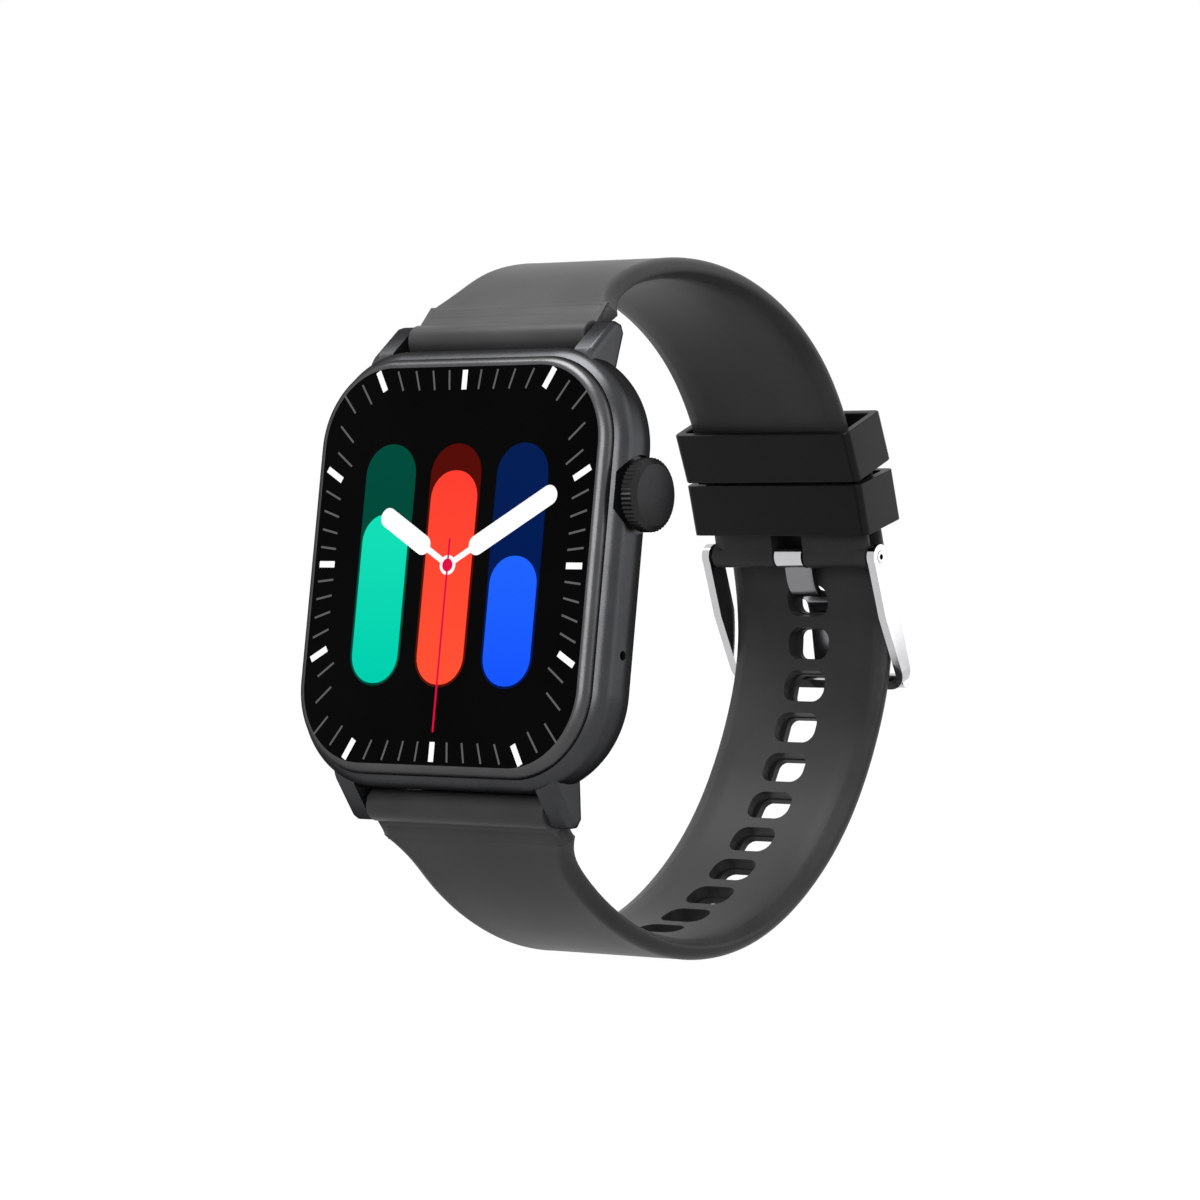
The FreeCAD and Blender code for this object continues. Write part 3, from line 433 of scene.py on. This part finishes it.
def into_watch(obj, body, material=None):
    """Takes a piece drawn in mm in the watch's own frame to its place.

    It also gets its body and, unless it has its finishes, its material.
    """
    stand = Matrix.Translation(dial_centre) @ Matrix.Rotation(-lean, 4, "X")
    obj.matrix_world = stand @ Matrix.Scale(MM, 4)
    choose(obj)
    bpy.ops.object.transform_apply(location=True, rotation=True, scale=True)
    if material:
        obj.data.materials.clear()
        obj.data.materials.append(material)
    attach(obj, body)


def strip_along_x(name, outline, half_width, corner=0.0):
    """Profile in the YZ plane, in mm, extruded along X, with its end edges rounded."""
    mesh = bpy.data.meshes.new(name)
    mesh.from_pydata([(-half_width, y, z) for y, z in outline], [], [list(range(len(outline)))])
    obj = bpy.data.objects.new(name, mesh)
    bpy.context.collection.objects.link(obj)
    choose(obj)
    bpy.ops.object.mode_set(mode="EDIT")
    bpy.ops.mesh.select_all(action="SELECT")
    bpy.ops.mesh.extrude_region_move(TRANSFORM_OT_translate={"value": (2 * half_width, 0, 0)})
    bpy.ops.mesh.select_all(action="SELECT")
    bpy.ops.mesh.normals_make_consistent(inside=False)
    if corner:
        select_end_edges(obj, half_width)
        bpy.ops.mesh.bevel(offset=corner, segments=4, affect="EDGES")
    bpy.ops.object.mode_set(mode="OBJECT")
    bpy.ops.object.shade_smooth_by_angle(angle=smooth_angle)
    return obj


def select_end_edges(obj, half_width):
    """Edges that lie in the two end faces of a strip."""
    bpy.ops.mesh.select_all(action="DESELECT")
    bpy.ops.mesh.select_mode(type="EDGE")
    mesh = bmesh.from_edit_mesh(obj.data)
    for edge in mesh.edges:
        a, b = (vert.co.x for vert in edge.verts)
        edge.select = (abs(abs(a) - half_width) < at_the_end and abs(a - b) < at_the_end
                       and abs(abs(b) - half_width) < at_the_end)
    bmesh.update_edit_mesh(obj.data)


def lofted(name, rings):
    """Closed skin through rings of points in mm."""
    mesh = bmesh.new()
    rows = [[mesh.verts.new(point) for point in ring] for ring in rings]
    for row, following in zip(rows, rows[1:]):
        for i, vert in enumerate(row):
            j = (i + 1) % len(row)
            mesh.faces.new((vert, row[j], following[j], following[i]))
    mesh.faces.new(rows[0])
    mesh.faces.new(rows[-1])
    bmesh.ops.recalc_face_normals(mesh, faces=mesh.faces)
    data = bpy.data.meshes.new(name)
    mesh.to_mesh(data)
    mesh.free()
    obj = bpy.data.objects.new(name, data)
    bpy.context.collection.objects.link(obj)
    choose(obj)
    bpy.ops.object.shade_smooth_by_angle(angle=smooth_angle)
    return obj


def arc(middle, radius, first, last, count, upward=1):
    """Points of an arc in the YZ plane; 0 degrees faces the front and 90 the case's middle."""
    points = []
    for i in range(count + 1):
        angle = math.radians(first + (last - first) * i / count)
        points.append((middle[0] - radius * math.cos(angle),
                       middle[1] + upward * radius * math.sin(angle)))
    return points


# ---- strap ends --------------------------------------------------------------------------
# lengths in mm, angles in degrees
bar_line = (5.7, 22.9)          # Y and Z of the spring bars, in the watch's own frame
roll_radius = 1.6
roll_shift = (-0.26, 0.2)       # the roll stands out to the front and towards the case
roll_span = (95, -125)          # the roll runs round the front between these and is open behind
roll_corner = 0.2
bar_room = 0.8
neck_half_width = 10.9
rib_outline = ((5.7, 20.85), (6.3, 21.1), (6.9, 21.3), (7.25, 21.25), (7.5, 20.9),
               (7.5, 19.6), (5.7, 19.6))
rib_spans = ((-11.3, -9.2), (-5.6, 11.3))      # along X, clear of the sliding knob
root_waist = 0.125              # the widest line lies this far to the wrist side of the middle
root_roundness = 1.35           # width of the outer rounding over its height
root_chamfer = ((1.7, 0.0), (0.2, 0.55), (0.05, 0.7))    # in from the side, off the wrist side
root_steps = 8
# middle line from the roll to the shoulder: Y, Z and heading in degrees
root_lines = {
    "upper": ((6.448, 23.963, 53.6), (6.688, 24.283, 52.9), (6.932, 24.600, 52.0),
              (7.243, 24.991, 50.9), (7.582, 25.399, 49.7)),
    "lower": ((6.676, -23.758, -41.5), (6.976, -24.024, -41.5), (7.275, -24.289, -41.5),
              (7.649, -24.621, -41.5), (8.046, -24.972, -41.4)),
}
# half width, and height of the outer and the wrist side, at each of those places
root_shape = ((10.9, 0.70, 0.80), (11.13, 0.84, 0.82), (11.42, 0.94, 0.88),
              (11.6, 1.00, 0.97), (11.69, 1.022, 1.02))


def root_ring(line, shape, side):
    """Cross-section of a strap's root: bevelled on the wrist side, rounded on the outer one."""
    y, z, heading = line
    half_width, outer, inner = shape
    along = Vector((0, math.cos(math.radians(heading)), math.sin(math.radians(heading))))
    out = Vector((0, -along.z, along.y)) * side
    rise = outer + root_waist
    round_width = root_roundness * rise
    half = [(half_width - inward, -inner + outward) for inward, outward in root_chamfer]
    for i in range(root_steps + 1):
        angle = math.pi / 2 * i / root_steps
        half.append((half_width - round_width * (1 - math.cos(angle)),
                     -root_waist + rise * math.sin(angle)))
    full = half + [(-x, n) for x, n in reversed(half)]
    return [Vector((x, y, z)) + out * n for x, n in full]


def strap_end(name, side):
    """Rolled end round the spring bar and the smooth rise from it to the shoulder."""
    middle = (bar_line[0] + roll_shift[0], side * (bar_line[1] - roll_shift[1]))
    upward = -side
    outline = arc(middle, roll_radius, *roll_span, count=44, upward=upward)
    outline += arc((bar_line[0], side * bar_line[1]), bar_room, *roll_span[::-1],
                   count=20, upward=upward)
    roll = strip_along_x(name + "_roll", outline, neck_half_width, roll_corner)
    rings = [root_ring(line, shape, side) for line, shape in zip(root_lines[name], root_shape)]
    root = lofted(name + "_root", rings)
    into_watch(roll, name + "_strap", finishes["strap"])
    into_watch(root, name + "_strap", finishes["strap"])


def end_bridge(name, side):
    """Low rib of the case between two lugs, behind the roll, with room for the release knob."""
    outline = [(y, side * z) for y, z in rib_outline]
    parts = []
    for i, (first, last) in enumerate(rib_spans):
        piece = strip_along_x(name + "_end_rib_" + str(i), outline, (last - first) / 2)
        turn_and_move(piece, 0, (first + last) / 2, 0)
        parts.append(piece)
    into_watch(joined(name + "_end_rib", parts), "case", finishes["case"])


# ---- tongue of the buckle ----------------------------------------------------------------
# lengths in mm, angles in degrees
pin_line = (56.1, 8.5)          # Y and Z of the buckle's pin, in the watch's own frame
tongue_half_width = 1.7
tongue_half_thickness = 0.38
tongue_path = ((56.80, 8.80), (57.14, 7.95), (57.56, 6.95), (58.10, 5.85), (59.00, 5.10),
               (60.40, 5.00), (61.75, 4.55), (62.75, 2.60), (63.65, -0.10), (64.56, -2.88),
               (64.90, -4.17))
tongue_corner = 0.12
eye_radius = 1.2
eye_room = 0.66
eye_span = (165, 510)           # its seam faces away from the dial


def smooth_line(points, steps):
    """Catmull-Rom line through points in the YZ plane."""
    knots = [Vector(p) for p in points]
    knots = [2 * knots[0] - knots[1]] + knots + [2 * knots[-1] - knots[-2]]
    line = []
    for a, b, c, d in zip(knots, knots[1:], knots[2:], knots[3:]):
        for i in range(steps):
            t = i / steps
            line.append(0.5 * (2 * b + (c - a) * t + (2 * a - 5 * b + 4 * c - d) * t * t
                               + (3 * b - a - 3 * c + d) * t ** 3))
    return line + [knots[-2]]


def tongue():
    """Eye rolled round the pin, and a flat blade through the first hole to the far bar."""
    line = smooth_line(tongue_path, steps=5)
    over, under = [], []
    for i, point in enumerate(line):
        ahead = line[min(i + 1, len(line) - 1)] - line[max(i - 1, 0)]
        side = Vector((-ahead.y, ahead.x)).normalized() * tongue_half_thickness
        over.append(tuple(point + side))
        under.append(tuple(point - side))
    blade = strip_along_x("tongue_blade", over + under[::-1], tongue_half_width, tongue_corner)
    eye_outline = arc(pin_line, eye_radius, *eye_span, count=46)
    eye_outline += arc(pin_line, eye_room, *eye_span[::-1], count=30)
    eye = strip_along_x("tongue_eye", eye_outline, tongue_half_width)
    # the blade's darker steel is painted shade; the eye keeps the buckle's own steel
    blade.data.materials.append(finishes["blade"])
    eye.data.materials.append(finishes["buckle"])
    whole = joined("tongue", [blade, eye])
    into_watch(whole, "buckle_tongue")
    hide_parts("buckle_tongue")


# ---- the dial ----------------------------------------------------------------------------
# lengths in mm
minute_row = (15.2, 17.86)     # half width and half height of the rows that the marks stand on
corner_pull = 0.93             # the marks at the corners stand closer to the middle
mark_length = 1.9
longest_mark = 2.4
hour_mark_width = 0.62
minute_mark_width = 0.2
mark_corner = 0.03
layer_step = 0.015             # between layers of the picture
round_end = 0.49               # corner over width at which a bar's end is round
blade_start = 2.9              # hands, from the hub outwards
blade_width = 1.95
neck_width = 0.6
neck_overlap = 0.5
hour_reach, hour_turn = 10.0, math.radians(300)
minute_reach, minute_turn = 14.3, math.radians(60)
sweep_width, sweep_length, sweep_corner = 0.22, 18.6, 0.1
sweep_tail = 2.6               # how far the second hand stands past the hub
hub_width, hub_corner = 1.9, 0.94
cap_width, cap_corner = 1.25, 0.62
column_width = 6.2             # gauges
column_height = 23.4
column_gap = 1.9
column_inset = 0.5
column_corner = 0.44           # over the track's width
dim_share = 0.09
# colour at the bottom, colour at the top, and how full the gauge is
gauge_looks = {
    "green": ((0.0, 0.62, 0.42), (0.01, 0.8, 0.5), 0.72),
    "red": ((1.0, 0.085, 0.035), (1.0, 0.045, 0.03), 0.9),
    "blue": ((0.008, 0.09, 1.0), (0.02, 0.16, 1.0), 0.55),
}


def mark_place(minute):
    """Middle of a minute mark on the rectangular row, and its turn."""
    angle = math.tau * minute / 60
    run, rise = math.sin(angle), math.cos(angle)
    reach = min(minute_row[0] / max(abs(run), 1e-9), minute_row[1] / max(abs(rise), 1e-9))
    corner = corner_pull if 5 < minute % 30 < 10 or 20 < minute % 30 < 25 else 1.0
    return angle, run * reach * corner, rise * reach * corner


def minute_marks():
    """Sixty marks round the dial, every fifth one wide and white."""
    white = lit("dial_white", (1.0, 1.0, 1.0), (1.0, 1.0, 1.0))
    grey = lit("dial_grey", (0.12, 0.12, 0.12), (0.12, 0.12, 0.12))
    majors, minors = [], []
    for minute in range(60):
        angle, x, z = mark_place(minute)
        run, rise = abs(math.sin(angle)), abs(math.cos(angle))
        on_side = run * minute_row[1] > rise * minute_row[0]
        length = mark_length / (run if on_side else rise)
        major = minute % 5 == 0
        width = hour_mark_width if major else minute_mark_width
        mark = bar("mark", width, min(length, longest_mark), mark_corner, segments=2)
        turn_and_move(mark, angle, x, z)
        (majors if major else minors).append(mark)
    onto_dial(joined("hour_marks", majors), white, layer_step)
    onto_dial(joined("minute_marks", minors), grey, layer_step)


def hand(name, reach, turn, material, lift):
    """Baton hand: thin neck from the hub, then a wide rounded blade."""
    blade = bar("blade", blade_width, reach - blade_start, blade_width * round_end)
    turn_and_move(blade, 0, 0, (reach + blade_start) / 2)
    neck = bar("neck", neck_width, blade_start + neck_overlap, corner=0.05, segments=2)
    turn_and_move(neck, 0, 0, (blade_start + neck_overlap) / 2)
    whole = joined(name, [blade, neck])
    turn_and_move(whole, turn, 0, 0)
    onto_dial(whole, material, lift)


def hands():
    """Hour, minute and second hand, a ring round the hub and a cap on it."""
    white = lit("hand_white", (1.0, 1.0, 1.0), (1.0, 1.0, 1.0))
    red = lit("hand_red", (0.75, 0.005, 0.06), (0.75, 0.005, 0.06))
    hand("hour_hand", hour_reach, hour_turn, white, 4 * layer_step)
    hand("minute_hand", minute_reach, minute_turn, white, 5 * layer_step)
    hub = bar("hub_ring", hub_width, hub_width, hub_corner, segments=12)
    onto_dial(hub, white, 6 * layer_step)
    sweep = bar("second_hand", sweep_width, sweep_length, sweep_corner, segments=3)
    turn_and_move(sweep, 0, 0, sweep_tail - sweep_length / 2)
    onto_dial(sweep, red, 7 * layer_step)
    cap = bar("hub_cap", cap_width, cap_width, cap_corner, segments=12)
    onto_dial(cap, red, 8 * layer_step)


def gauges():
    """Three upright level gauges side by side, each a dim track with a lit column in it."""
    for i, (colour, (low, high, level)) in enumerate(gauge_looks.items()):
        x = (i - 1) * (column_width + column_gap)
        track = bar("gauge_track_" + colour, column_width, column_height,
                    column_width * round_end)
        turn_and_move(track, 0, x, 0)
        dim = lit("gauge_dim_" + colour, shade(low, dim_share), shade(high, dim_share))
        onto_dial(track, dim, layer_step)
        filled = column_height * level
        column = bar("gauge_column_" + colour, column_width - column_inset,
                     filled - column_inset, column_width * column_corner)
        turn_and_move(column, 0, x, (filled - column_height) / 2)
        onto_dial(column, lit("gauge_" + colour, low, high), 2 * layer_step)


# ---- studio ------------------------------------------------------------------------------
fill_tint, fill_strength = (0.95, 0.97, 1.0, 1), 0.3
floor_tint = (0.3, 0.3, 0.3, 1)
floor_white = 1.03              # where the floor is looked at
fade_from, fade_to = 0.05, 0.2  # the shadow fades between these distances, in metres
near_share = 0.965              # of white, near the watch
# name, place and size in metres, power in watts; all aim at the origin
softboxes = (
    ("top_softbox", (-0.15, -0.2, 0.6), (0.5, 0.4), 7.0),
    ("right_softbox", (0.5, 0.4, 0.15), (0.6, 0.8), 2.0),
    ("front_softbox", (0.2, -0.6, 0.2), (0.5, 0.3), 3.0),
)


def seen_directly(material_or_world):
    """1 for rays from the camera, from gloss and through glass, 0 for light on things."""
    nodes, links = material_or_world.node_tree.nodes, material_or_world.node_tree.links
    path = nodes.new("ShaderNodeLightPath")
    first, second = nodes.new("ShaderNodeMath"), nodes.new("ShaderNodeMath")
    first.operation = second.operation = "MAXIMUM"
    links.new(path.outputs["Is Camera Ray"], first.inputs[0])
    links.new(path.outputs["Is Transmission Ray"], first.inputs[1])
    links.new(first.outputs[0], second.inputs[0])
    links.new(path.outputs["Is Glossy Ray"], second.inputs[1])
    return second.outputs[0]


def white_world():
    """White where it is looked at, a dim even light otherwise."""
    world = bpy.data.worlds.new("studio")
    bpy.context.scene.world = world
    world.use_nodes = True
    nodes, links = world.node_tree.nodes, world.node_tree.links
    fill = nodes["Background"]
    fill.inputs["Color"].default_value = fill_tint
    fill.inputs["Strength"].default_value = fill_strength
    backdrop = nodes.new("ShaderNodeBackground")
    backdrop.inputs["Color"].default_value = (1, 1, 1, 1)
    backdrop.inputs["Strength"].default_value = 1.0
    mix = nodes.new("ShaderNodeMixShader")
    looked_at = seen_directly(world)
    links.new(looked_at, mix.inputs["Fac"])
    links.new(fill.outputs["Background"], mix.inputs[1])
    links.new(backdrop.outputs["Background"], mix.inputs[2])
    links.new(mix.outputs["Shader"], nodes["World Output"].inputs["Surface"])


def floor():
    """Pale floor that keeps a faint shadow near the watch and fades into the white round it."""
    bpy.ops.mesh.primitive_plane_add(size=6.0, location=(0, 0, cad_box[0][2]))
    ground = bpy.context.object
    ground.name = "floor"
    bpy.ops.object.transform_apply(location=True, rotation=True, scale=True)
    material, shader, where = new_material("pale_floor")
    nodes, links = material.node_tree.nodes, material.node_tree.links
    shader.inputs["Base Color"].default_value = floor_tint
    shader.inputs["Roughness"].default_value = 0.9
    reach = nodes.new("ShaderNodeVectorMath")
    reach.operation = "LENGTH"
    links.new(where.outputs["Object"], reach.inputs[0])
    fade = nodes.new("ShaderNodeMapRange")
    fade.interpolation_type = "SMOOTHSTEP"
    fade.inputs["From Min"].default_value = fade_from
    fade.inputs["From Max"].default_value = fade_to
    fade.inputs["To Min"].default_value = near_share
    fade.inputs["To Max"].default_value = 1.0
    links.new(reach.outputs["Value"], fade.inputs["Value"])
    share = nodes.new("ShaderNodeMath")
    share.operation = "MULTIPLY"
    links.new(seen_directly(material), share.inputs[0])
    links.new(fade.outputs["Result"], share.inputs[1])
    white = nodes.new("ShaderNodeEmission")
    white.inputs["Strength"].default_value = floor_white
    mix = nodes.new("ShaderNodeMixShader")
    links.new(share.outputs[0], mix.inputs["Fac"])
    links.new(shader.outputs["BSDF"], mix.inputs[1])
    links.new(white.outputs["Emission"], mix.inputs[2])
    links.new(mix.outputs["Shader"], nodes["Material Output"].inputs["Surface"])
    ground.data.materials.append(material)


def softbox(name, place, size, power):
    """Rectangular light aimed at the origin."""
    light = bpy.data.lights.new(name, "AREA")
    light.shape = "RECTANGLE"
    light.size, light.size_y = size
    light.energy = power
    lamp = bpy.data.objects.new(name, light)
    bpy.context.collection.objects.link(lamp)
    lamp.location = place
    lamp.rotation_euler = (-Vector(place)).to_track_quat("-Z", "Y").to_euler()


def camera():
    """Long lens from the front right, as the watch is usually shown."""
    data = bpy.data.cameras.new("camera")
    data.lens = lens_length
    data.sensor_width = 36.0
    data.clip_start = 0.01
    eye = bpy.data.objects.new("camera", data)
    bpy.context.collection.objects.link(eye)
    eye.location = dial_centre + camera_from_dial
    eye.rotation_euler = camera_forward.to_track_quat("-Z", "Y").to_euler()
    bpy.context.scene.camera = eye


dress_nodes()
for end, side in (("upper", 1), ("lower", -1)):
    strap_end(end, side)
    end_bridge(end, side)
tongue()
minute_marks()
gauges()
hands()
white_world()
floor()
for name, place, size, power in softboxes:
    softbox(name, place, size, power)
camera()
bpy.context.scene.view_settings.view_transform = "Standard"
